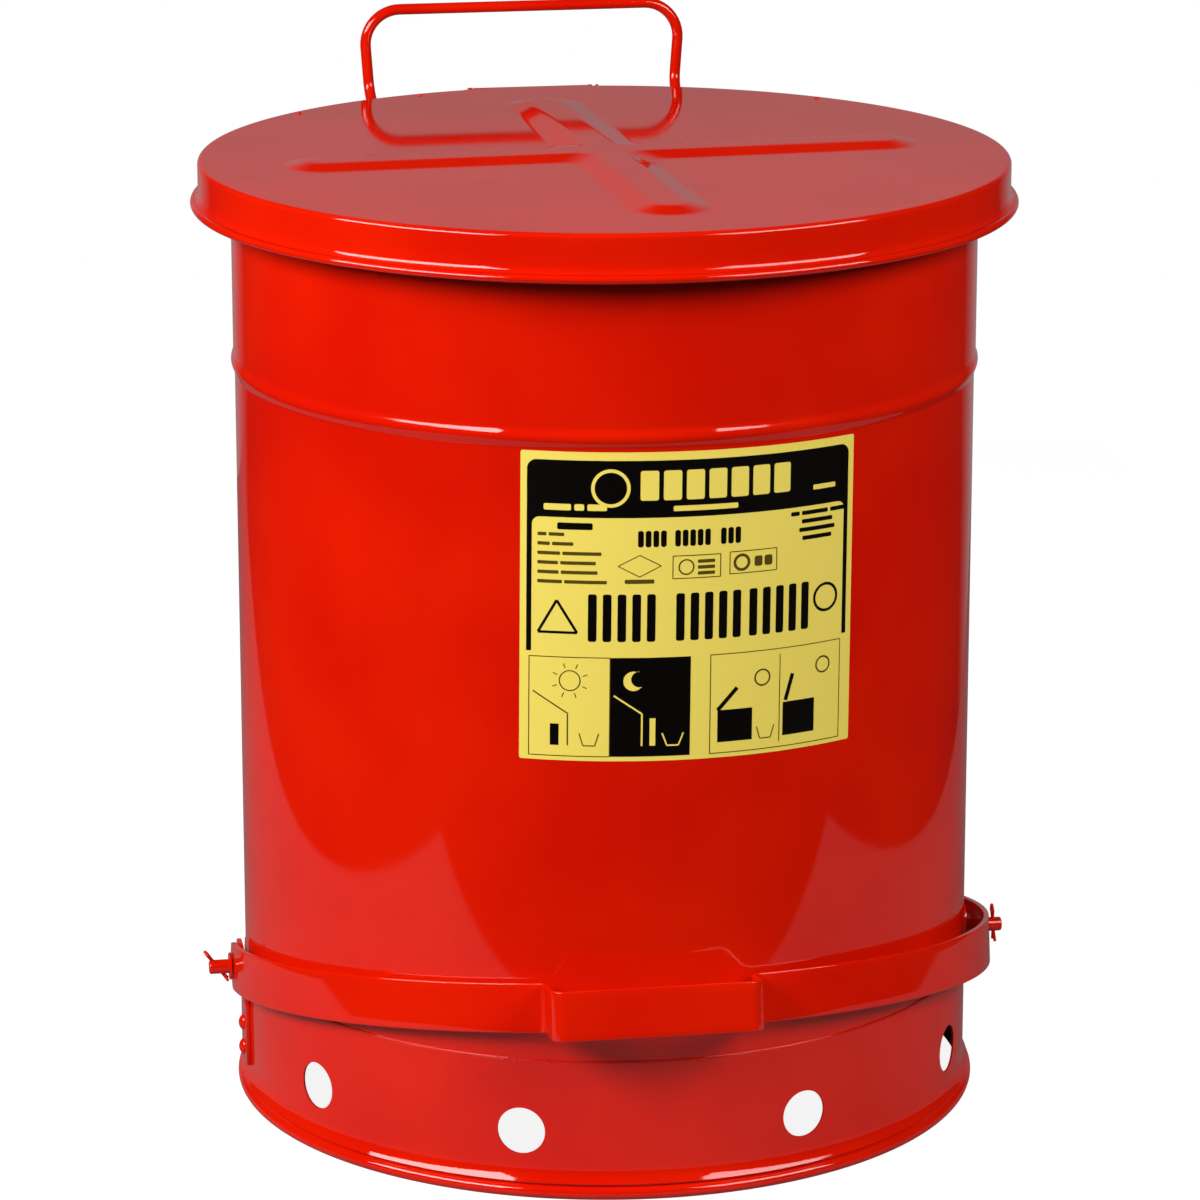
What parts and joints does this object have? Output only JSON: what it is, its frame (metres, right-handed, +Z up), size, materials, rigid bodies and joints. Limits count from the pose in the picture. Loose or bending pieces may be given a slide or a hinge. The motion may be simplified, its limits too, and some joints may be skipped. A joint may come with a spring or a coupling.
{
  "type": "oily waste can",
  "caption": "Round foot-operated metal waste can with a hinged self-closing lid, a raised vented base, a pedal strap, a rear lift rod and a rear wire handle.",
  "frame": {"origin": "on the can's vertical axis, at the floor under the rolled hem of the base ring", "axes": "+Z up along the can's axis, -Y towards the pedal's tread, +Y towards the lid's hinge, +X to the right seen from the front"},
  "size_m": [0.4493, 0.4998, 0.558],
  "materials": {
    "red_enamel": "gloss baked enamel",
    "label_film": "printed vinyl film"
  },
  "bodies": {
    "can": {"body_shell": "red_enamel", "can_bottom": "red_enamel", "base_ring": "red_enamel", "instruction_label": "label_film", "hinge_bracket": "red_enamel", "hinge_bracket_rivets": "red_enamel", "hinge_pin": "red_enamel", "hinge_cotter": "red_enamel", "lower_rod_guide": "red_enamel", "upper_rod_guide": "red_enamel", "guide_rivets": "red_enamel", "rear_handle": "red_enamel", "handle_clamps": "red_enamel", "handle_clamp_rivets": "red_enamel", "left_pivot_bracket": "red_enamel", "left_bracket_rivets": "red_enamel", "left_pivot_pin": "red_enamel", "left_pivot_cotter": "red_enamel", "left_pivot_washer": "red_enamel", "right_pivot_bracket": "red_enamel", "right_bracket_rivets": "red_enamel", "right_pivot_pin": "red_enamel", "right_pivot_cotter": "red_enamel", "right_pivot_washer": "red_enamel"},
    "lid": {"lid_pan": "red_enamel", "lid_stiffener": "red_enamel", "lid_weld_pips": "red_enamel", "lid_hinge_leaf": "red_enamel"},
    "pedal": {"foot_strap": "red_enamel"},
    "lifter": {"lift_rod": "red_enamel", "lift_pad": "red_enamel"}
  },
  "joints": [
    {"name": "lid_hinge", "type": "hinge", "parent": "can", "child": "lid", "pos_m": [0, 0.258, 0.503], "axis": [-1, 0, 0], "range_deg": [0, 60]},
    {"name": "pedal_pivot", "type": "hinge", "parent": "can", "child": "pedal", "pos_m": [0, 0, 0.071], "axis": [1, 0, 0], "range_deg": [0, 12.99]},
    {"name": "lift_rod_slide", "type": "slide", "parent": "can", "child": "lifter", "axis": [0, 0, 1], "range_m": [0, 0.04715]}
  ],
  "couplings": [
    {"joint": "pedal_pivot", "follows": "lid_hinge", "ratio": 0.21635},
    {"joint": "lift_rod_slide", "follows": "lid_hinge", "m_per_rad": 0.045016}
  ]
}
